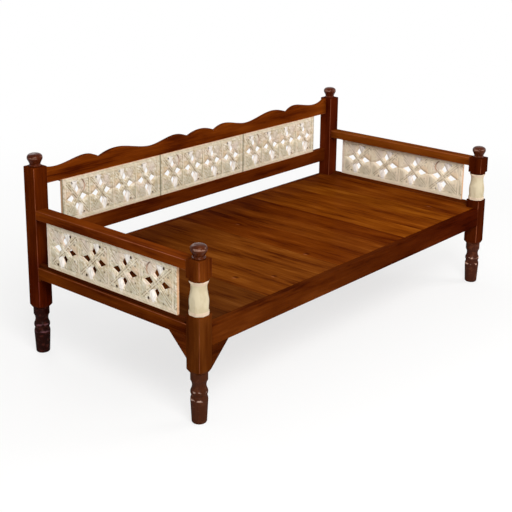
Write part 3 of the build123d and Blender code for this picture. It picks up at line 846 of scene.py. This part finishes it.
# %% Give the plan its depth and its walls
def panel_depth(plan, to_edge, middles, module):
    """Depth at each point of a plan: the bevel of its outer edge, or deeper carving."""
    width, tall = module
    depth = np.clip(1 - to_edge / rim_bevel, 0, 1) * rim_bevel
    for middle in middles:
        inside = (np.abs(plan - middle) <= (width / 2 + 1e-7, tall / 2 + 1e-7)).all(1)
        carved = carving_depth(plan[inside] - middle, width, tall, kites_of(width, tall))
        depth[inside] = np.maximum(depth[inside], carved)
    return depth


def in_wood(places, middles, module, hand):
    """True for places in no kite and in no drilled hole, whose sides pass inside its radius."""
    wood = np.ones(len(places), bool)
    for middle in middles:
        for kite in kites_of(*module):
            wood &= distance_to_kite(places - middle, kite) > 0
        for place in drilled_of(*module, hand):
            wood &= np.linalg.norm(places - middle - place, axis=1) > drilled_inner
    return wood


def on_kite(places, middles, module):
    """True for places on the outline of a kite."""
    found = np.zeros(len(places), bool)
    for middle in middles:
        for kite in kites_of(*module):
            found |= np.abs(distance_to_kite(places - middle, kite)) < touching * 10
    return found


def open_edges(triangles, count):
    """Directed edges that have no partner in the opposite direction."""
    edges = np.concatenate((triangles[:, (0, 1)], triangles[:, (1, 2)], triangles[:, (2, 0)]))
    keys = edges[:, 0].astype(np.int64) * count + edges[:, 1]
    partners = edges[:, 1].astype(np.int64) * count + edges[:, 0]
    return edges[~np.isin(keys, partners)]


# %% Build a carved panel
def carved_panel(size, rim, hand):
    """Points and triangles of a carved panel that lies in X and Y, its face at Z = 0.

    The third result names what the walls belong to: for each name, 1 for its triangles and 0 for
    all others."""
    length, height, thickness = size
    module = ((length - 2 * rim) / flower_count, height - 2 * rim_height)
    centres = [(number + 0.5) * module[0] - length / 2 + rim for number in range(flower_count)]
    middles = [np.array((centre, 0)) for centre in centres]
    lines = [(rectangle((0, 0), length / 2, height / 2), True)]
    lines.append((rectangle((0, 0), length / 2 - rim_bevel, height / 2 - rim_bevel), True))
    for middle in middles:
        lines += flower_lines(middle, *module, hand)
    plan, triangles = triangulate(lines)
    triangles = triangles[in_wood(plan[triangles].mean(1), middles, module, hand)]

    to_edge = np.minimum(length / 2 - np.abs(plan[:, 0]), height / 2 - np.abs(plan[:, 1]))
    depth = panel_depth(plan, to_edge, middles, module)
    front, back = np.column_stack((plan, -depth)), np.column_stack((plan, depth - thickness))

    count = len(plan)
    border = open_edges(triangles, count)
    walls = np.concatenate((
        np.stack((border[:, 1], border[:, 0], border[:, 0] + count), 1),
        np.stack((border[:, 1], border[:, 0] + count, border[:, 1] + count), 1),
    ))
    at_rim = np.tile(to_edge[border].max(1) < touching, 2)
    at_kite = np.tile(on_kite(plan[border].mean(1), middles, module), 2)
    marks = {"rim_wall": at_rim, "kite_wall": at_kite, "drilled_wall": ~(at_rim | at_kite)}
    faces = np.zeros(2 * len(triangles))
    marks = {name: np.concatenate((faces, value)) for name, value in marks.items()}
    skin = np.concatenate((triangles, triangles[:, ::-1] + count, walls))
    return np.concatenate((front, back)), skin, marks


# %% [markdown]
# The numbers are handed to Blender as whole arrays, which is much faster than adding faces one by
# one. What a wall belongs to becomes an attribute of the mesh, so the paint can follow it.

# %% Hand a panel to Blender
def make_piece(name, points, triangles, marks):
    """A mesh object with flat faces, from arrays of points, triangles and marks of its faces."""
    mesh = bpy.data.meshes.new(name)
    mesh.vertices.add(len(points))
    mesh.vertices.foreach_set("co", points.astype(np.float32).ravel())
    mesh.loops.add(3 * len(triangles))
    mesh.loops.foreach_set("vertex_index", triangles.astype(np.int32).ravel())
    mesh.polygons.add(len(triangles))
    mesh.polygons.foreach_set("loop_start", np.arange(0, 3 * len(triangles), 3, dtype=np.int32))
    mesh.update(calc_edges=True)
    for mark, values in marks.items():
        attribute = mesh.attributes.new(mark, "FLOAT", "FACE")
        attribute.data.foreach_set("value", values.astype(np.float32))
    mesh.shade_flat()
    mesh.validate()
    piece = bpy.data.objects.new(name, mesh)
    bpy.context.scene.collection.objects.link(piece)
    return piece


def panel_places(points, origin, right, out):
    """Turns a panel's own X, Y and Z into the directions right, up and out of the daybed."""
    turn = np.array((right, (0, 0, 1), out), float)
    return points @ turn + np.array(origin)


# %% [markdown]
# ## Cream paint
# The panels are painted cream over pale wood, and the painter picked out two leaves of every
# flower in white. Old brush paint isn't even: it is grey where it was thinned, rosy where the
# primer shows and yellow over the wood. Painted shade lies beside the grooves, in the holes and on
# the lower petals, and painted light on the raised bars and over the panel that lies in shade. The
# paint is drawn in the coordinates of a flower: right and up from its middle, as shares of its
# width and height.

# %% Find the place in a flower
def flower_axes(finish, along_sign, along_axis, middle, half, rim, hand):
    """Place in a flower as shares across and up, the panel's run, and metres right of its middle.

    The run counts flowers from the panel's left end. Its fraction, less a half, is the place
    across, and the hand mirrors it."""
    place = dict(zip("XYZ", finish.place()))
    right = (place[along_axis] - middle[0]) * along_sign
    width = (half[0] - rim) * 2 / flower_count
    run = (right + (half[0] - rim)) / width
    height = (half[1] - rim_height) * 2
    up = (place["Z"] - middle[1]) / height
    return (run.fraction() - 0.5) * hand, up, run, right


def inside_polygon(across, up, corners, soft=0.012):
    """1 inside a convex polygon whose corners run clockwise, 0 outside, with a soft edge.

    The place is inside when it lies on the inner side of every edge, so the smallest of the
    distances to the edges' straight lines counts."""
    nearest = None
    for (x1, y1), (x2, y2) in zip(corners, corners[1:] + corners[:1]):
        length = ((x2 - x1) ** 2 + (y2 - y1) ** 2) ** 0.5
        normal = ((y2 - y1) / length, -(x2 - x1) / length)
        distance = across * normal[0] + up * normal[1] - (x1 * normal[0] + y1 * normal[1])
        nearest = distance if nearest is None else nearest.least(distance)
    return nearest.step(-soft * 0.5, soft * 0.5)


def spot(across, up, place, size, soft=0.3):
    """1 inside a round spot of a flower and 0 outside. Place and size are shares of the flower."""
    away_x = (across - place[0]) / size[0]
    away_y = (up - place[1]) / size[1]
    return ((away_x * away_x + away_y * away_y) ** 0.5).step(1.0 + soft, 1.0 - soft)


# %% Colours of the cream paint
cream_body = linear(200, 186, 158)
cream_pale = linear(218, 205, 180)
cream_green = linear(184, 177, 152)
cream_tan = linear(176, 152, 116)
cream_pink = linear(218, 198, 182)
cream_white = linear(232, 226, 214)
painted_light_cream = linear(242, 228, 202)
leaf_white = linear(240, 234, 228)
leaf_grey = linear(205, 198, 190)
wall_pink = linear(232, 208, 186)
petal_peach = linear(216, 186, 150)
petal_lilac = linear(206, 192, 182)
petal_shade_grey = linear(174, 166, 142)
groove_shadow_brown = linear(104, 84, 62)
seam_brown = linear(120, 102, 74)
dimple_shade_brown = linear(76, 54, 34)
drilled_shade_brown = linear(58, 34, 18)
rim_peach = linear(214, 166, 126)
knot_brown = linear(104, 66, 40)
knot_tan = linear(184, 144, 118)
joint_green = linear(122, 116, 92)
print("palest and darkest cream:", cream_white[0], cream_tan[0])


# %% [markdown]
# The ground comes first. Five noises stand for the brush: broad clouds and washes, strokes that run
# up to the right, upright strokes along the grain, and specks of dust in the paint.

# %% Brush the ground
def brush_marks(finish, right):
    """The five noises of the brushwork, by name."""
    x, y, z = finish.place()
    slant = z + right * 0.6
    return {
        "clouds": finish.noise(x * 32.0, y * 32.0, z * 32.0 + 3.0, 3.0),
        "washes": finish.noise(x * 13.0 + 5.0, y * 13.0, z * 20.0, 2.0),
        "strokes": finish.noise(right * 60.0 + 7.0, slant * 130.0, 0.5, 3.0, 0.6),
        "upright": finish.noise(right * 120.0, z * 22.0, 4.0, 2.0, 0.6),
        "specks": finish.noise(x * 300.0, y * 300.0, z * 300.0, 2.0),
    }


def brush_ground(finish, brush, painted_light_share):
    """The cream ground with its thin, rosy and tan places. Painted light is a paler cream over a
    panel in shade.
    """
    finish.colour = cream_body
    finish.paint(brush["clouds"].step(0.42, 0.56), cream_pale)
    finish.paint(brush["upright"].step(0.5, 0.6) * 0.7, cream_green)
    finish.paint(brush["washes"].step(0.5, 0.6) * 0.7, cream_pink)
    finish.paint(brush["strokes"].step(0.52, 0.62) * 0.75, cream_tan)
    finish.paint(brush["strokes"].step(0.46, 0.38) * 0.8, cream_white)
    # Painted light: a paler cream laid over a panel that lies in shade.
    finish.paint(painted_light_share, painted_light_cream)


# %% [markdown]
# The flower is painted over the ground. Its round spots are given as place, size, strength and
# colour, its white leaves by their corners, and its dimples as place and strength.

# %% Paint the flower
# The grey spots are painted shade on the lower petals.
petal_spots = (
    ((0.36, 0.1), (0.13, 0.13), 0.5, petal_peach),
    ((-0.22, 0.3), (0.14, 0.16), 0.5, petal_lilac),
    ((0.24, -0.34), (0.2, 0.15), 0.55, petal_shade_grey),
    ((-0.42, -0.3), (0.08, 0.2), 0.5, petal_shade_grey),
)
white_leaves = (
    ((0.0, 0.458), (0.209, 0.5), (0.209, 0.349), (0.094, 0.205), (0.022, 0.337)),
    ((-0.22, -0.211), (-0.039, -0.151), (0.0, -0.247), (-0.05, -0.494), (-0.127, -0.506)),
)
dimples = (
    ((0.3625, 0.2416), 0.8),
    ((-0.371, 0.178), 0.55),
    ((0.363, -0.184), 0.8),
    ((-0.227, 0.435), 0.4),
    ((0.219, -0.44), 0.65),
)
dimple_size = (0.024, 0.026)
bar_half, bar_middle = 0.03, 0.04


def paint_petals(finish, across, up, brush):
    """Tinted petals, grey petals of painted shade, and two leaves in streaky white."""
    for place, size, strength, tint in petal_spots:
        finish.paint(spot(across, up, place, size, 0.5) * strength, tint)
    white = finish.mix(brush["upright"].step(0.5, 0.62) * 0.7, leaf_white, leaf_grey)
    for leaf in white_leaves:
        finish.paint(inside_polygon(across, up, leaf, 0.03) * 0.9, white)


def paint_bars(finish, across, up, brush, hole_shade):
    """Painted light on the bars of the diagonals with painted shadow beside them, a seam round
    all, and dimples of painted shade.
    """
    in_field = 0.5 - abs(up).most(abs(across))
    field = in_field.step(0.035, 0.045)
    bars = ((across - up, 0.8, 0.5), (across + up, 0.55, 0.35))
    for diagonal, dark, light in bars:
        from_diagonal = abs(diagonal)
        # Painted shadow beside each diagonal groove, then painted light on the bar along it.
        beside_shadow = abs(from_diagonal - bar_middle).step(0.022, 0.006) * field
        finish.paint(beside_shadow * brush["strokes"].step(0.38, 0.58) * dark, groove_shadow_brown)
        lit_bar = from_diagonal.step(bar_half, bar_half * 0.8) * field
        finish.paint(lit_bar * light, cream_pale)
    finish.paint(in_field.step(0.03, 0.024) * 0.45, cream_pale)
    seam = abs(in_field - 0.042).step(0.014, 0.005)
    finish.paint(seam * brush["clouds"].step(0.4, 0.62) * 0.6, seam_brown)
    # Painted shade: dark spots that stand for the shade in shallow dimples, as strong as the
    # panel's hole shade.
    for place, strength in dimples:
        finish.paint(spot(across, up, place, dimple_size, 0.5) * (strength * hole_shade), dimple_shade_brown)


print("petals, leaves and dimples:", len(petal_spots), len(white_leaves), len(dimples))


# %% [markdown]
# The outer edge of a panel is rubbed to the peach of the primer. The back panels have green dirt
# in the joints where they meet. One flower of each panel lets a curved knot of the wood show
# through, and its line is a parabola.

# %% Paint the edges and the knot
def paint_edges(finish, node, right, middle, half):
    """A scored line and a rubbed rim along the long edges, and the tint of the ends, in metres."""
    from_edge = half[1] - abs(finish.place()[2] - middle[1])
    scored = abs(from_edge - 0.008).step(0.0016, 0.0006)
    finish.paint(scored * 0.25, seam_brown)
    finish.paint(from_edge.step(0.004, 0.0025) * 0.7, rim_peach)
    if "back" in node:
        from_end = half[0] - abs(right)
        finish.paint(from_end.step(0.0055, 0.0035) * 0.8, joint_green)
    else:
        finish.paint((right + half[0]).step(0.0145, 0.013) * 0.7, cream_pink)


def paint_knot(finish, across, up, run, brush, flower):
    """A curved knot in the flower of a number: dark above, tan below, with a wavy line."""
    bend = up * up * 2.743 - up * 1.557 - 0.0602
    away = abs(across - bend + (brush["clouds"] - 0.5) * 0.03)
    in_flower = abs(run - flower - 0.5).step(0.5, 0.495)
    knot = away.step(0.036, 0.012) * up.step(0.1, 0.2) * up.step(0.5, 0.47) * in_flower
    finish.paint(knot * 0.85, finish.mix(up.step(0.3, 0.42), knot_tan, knot_brown))


def paint_walls(finish, hole_shade):
    """The walls of the kites, of the rim and of the drilled holes, by the marks of the mesh; the
    drilled walls get painted shade.
    """
    finish.paint(finish.attribute("kite_wall") * 0.85, wall_pink)
    finish.paint(finish.attribute("rim_wall") * 0.85, rim_peach)
    # Painted shade on the walls of the drilled holes.
    finish.paint(finish.attribute("drilled_wall") * hole_shade, drilled_shade_brown)


# %% Mix the cream paint
brush_relief = (0.0006, 0.4)
# For each panel: painted shade in its small holes, and painted light laid over the whole panel.
panel_shade_and_light = {
    "left_arm_panel": (0.95, 0.0),
    "right_arm_panel": (0.4, 0.6),
    "back_panel_left": (0.3, 0.06),
    "back_panel_middle": (0.3, 0.06),
    "back_panel_right": (0.3, 0.06),
}


def cream_lattice(node, along_sign, along_axis, middle, half, rim, hand, marked_flower):
    """Cream paint of one panel. A knot shows through the paint of its marked flower.

    Its two numbers are the painted shade in its small holes and the painted light laid over the
    whole panel."""
    hole_shade, painted_light_share = panel_shade_and_light[node]
    finish = Finish(f"cream_lattice_{node}", Specular_IOR_Level=0.1)
    across, up, run, right = flower_axes(finish, along_sign, along_axis, middle, half, rim, hand)
    brush = brush_marks(finish, right)
    brush_ground(finish, brush, painted_light_share)
    paint_petals(finish, across, up, brush)
    paint_bars(finish, across, up, brush, hole_shade)
    paint_edges(finish, node, right, middle, half)
    paint_knot(finish, across, up, run, brush, marked_flower)
    paint_walls(finish, hole_shade)
    finish.feed("Roughness", 0.45 + brush["clouds"] * 0.2)
    finish.bump(brush["strokes"] * 0.7 + brush["specks"] * 0.4, *brush_relief)
    return finish


print("panels to paint:", len(panel_shade_and_light))


# %% Carve the five panels
def carve(node, along_sign, along_axis, right, out, rim, hand, marked_flower):
    """Replaces one panel of the construction model by its carved and painted form.

    It runs along an axis, with or against it by the sign. Right and out are the directions of its
    own X and of its face."""
    low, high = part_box(node)
    along = "XY".index(along_axis)
    thin = 1 - along
    size = (high[along] - low[along], high.z - low.z, high[thin] - low[thin])
    origin = (low + high) / 2
    origin[thin] = low[thin]
    points, triangles, marks = carved_panel(size, rim, hand)
    piece = make_piece(f"carved_{node}", panel_places(points, origin, right, out), triangles, marks)
    middle = (origin[along], origin.z)
    half = (size[0] / 2, size[1] / 2)
    paint = cream_lattice(node, along_sign, along_axis, middle, half, rim, hand, marked_flower)
    piece.data.materials.append(paint.material)
    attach(piece, "root")
    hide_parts(node)
    print(node, "carved:", len(points), "points and", len(triangles), "triangles")
    return piece


arm_rim, back_rim = 0.020, 0.016
last_flower, first_flower = 3.0, 0.0
for side in ("left", "right"):
    carve(f"{side}_arm_panel", -1, "Y", (0, -1, 0), (-1, 0, 0), arm_rim, 1, last_flower)
for place in ("left", "middle", "right"):
    carve(f"back_panel_{place}", 1, "X", (1, 0, 0), (0, -1, 0), back_rim, -1, first_flower)


# %% [markdown]
# ## Floor, light and background
# The floor is a plain pale plane that carries the shadow. The camera sees it partly as plain white,
# and more so away from the daybed, so it fades into the background. A big soft lamp hangs over the
# front left, a smaller one fills from the right, a low one puts highlights on the turned parts, and
# a spot reaches the inside of the right arm, which lies in the shade of its own rail.

# %% Lay the floor
floor_half = 40.0
white_near, white_far = 0.72, 1.0
fade_start, fade_end = 1.5, 4.0


def make_floor():
    """A square floor at the height of the feet, whiter for the camera the farther out it lies."""
    mesh = bpy.data.meshes.new("floor")
    corners = rectangle((0, 0), floor_half, floor_half)
    mesh.from_pydata([(x, y, 0) for x, y in corners], [], [(0, 1, 2, 3)])
    floor = bpy.data.objects.new("floor", mesh)
    bpy.context.scene.collection.objects.link(floor)
    finish = Finish("pale_floor", Roughness=0.9, Specular_IOR_Level=0.0)
    finish.feed("Base Color", linear(236, 235, 233))
    x, y, z = finish.place()
    radius = (x * x + y * y) ** 0.5
    share = radius.step(fade_start, fade_end) * (white_far - white_near) + white_near
    seen = finish.add("ShaderNodeLightPath", {}, {}, "Is Camera Ray")
    white = finish.add("ShaderNodeEmission", {}, {"Color": (1, 1, 1, 1), "Strength": 1.0})
    lit = Wire(finish, finish.surface.outputs[0])
    both = finish.add("ShaderNodeMixShader", {}, {0: seen * share, 1: lit, 2: white})
    finish.join(finish.tree.nodes["Material Output"].inputs["Surface"], both)
    mesh.materials.append(finish.material)
    return floor


floor = make_floor()


# %% Hang the lamps
def hang(name, data, place, target):
    """Puts a lamp at its place and turns it to its target."""
    lamp = bpy.data.objects.new(name, data)
    bpy.context.scene.collection.objects.link(lamp)
    direction = Vector(target) - Vector(place)
    lamp.rotation_euler = direction.to_track_quat("-Z", "Y").to_euler()
    lamp.location = place
    return lamp


def make_lamp(name, place, target, size, power):
    """A square soft lamp. Its size is the length of a side, and its power is in watts."""
    data = bpy.data.lights.new(name, "AREA")
    data.shape = "SQUARE"
    data.size = size
    data.energy = power
    return hang(name, data, place, target)


def make_spot(name, place, target, cone, power):
    """A spot lamp with a soft border. The cone is its full angle in degrees, the power in watts."""
    data = bpy.data.lights.new(name, "SPOT")
    data.spot_size = np.radians(cone)
    data.spot_blend = 0.7
    data.shadow_soft_size = 0.15
    data.energy = power
    return hang(name, data, place, target)


soft_lamps = (
    ("key_lamp", (-2.6, -3.4, 4.2), (0.0, 0.0, 0.4), 2.6, 260.0),
    ("fill_lamp", (3.6, -3.0, 3.0), (0.2, 0.0, 0.4), 2.2, 90.0),
    ("back_lamp", (0.5, 3.8, 3.6), (0.0, 0.2, 0.5), 2.4, 55.0),
    ("low_lamp", (-3.4, -3.3, 0.75), (-0.6, -0.4, 0.3), 0.15, 9.0),
)
for lamp in soft_lamps:
    make_lamp(*lamp)
make_spot("right_end_spot", (-0.6, -1.5, 1.4), (1.03, 0.0, 0.5), 38.0, 42.0)
print("lamps:", len(soft_lamps) + 1)


# %% [markdown]
# The world lights the wood from all sides at a low level. A ray from the camera, a mirrored ray and
# a ray through glass meet it as plain white instead, which the Light Path node tells apart.

# %% Light the dome
ambient_level = 0.42


def make_world():
    """Low light for diffuse bounces, plain white for what is seen, mirrored or looked through."""
    world = bpy.data.worlds.new("dome")
    bpy.context.scene.world = world
    world.use_nodes = True
    dome = Graph(world.node_tree)
    dome.tree.nodes.remove(dome.tree.nodes["Background"])
    camera_ray, glossy_ray, glass_ray = [
        dome.add("ShaderNodeLightPath", {}, {}, f"Is {kind} Ray")
        for kind in ("Camera", "Glossy", "Transmission")
    ]
    seen = camera_ray.most(glossy_ray).most(glass_ray)
    soft, white = [
        dome.add("ShaderNodeBackground", {}, {"Color": (1, 1, 1, 1), "Strength": level})
        for level in (ambient_level, 1.0)
    ]
    both = dome.add("ShaderNodeMixShader", {}, {0: seen, 1: soft, 2: white})
    dome.join(dome.tree.nodes["World Output"].inputs["Surface"], both)


make_world()
bpy.context.scene.view_settings.view_transform = "Standard"
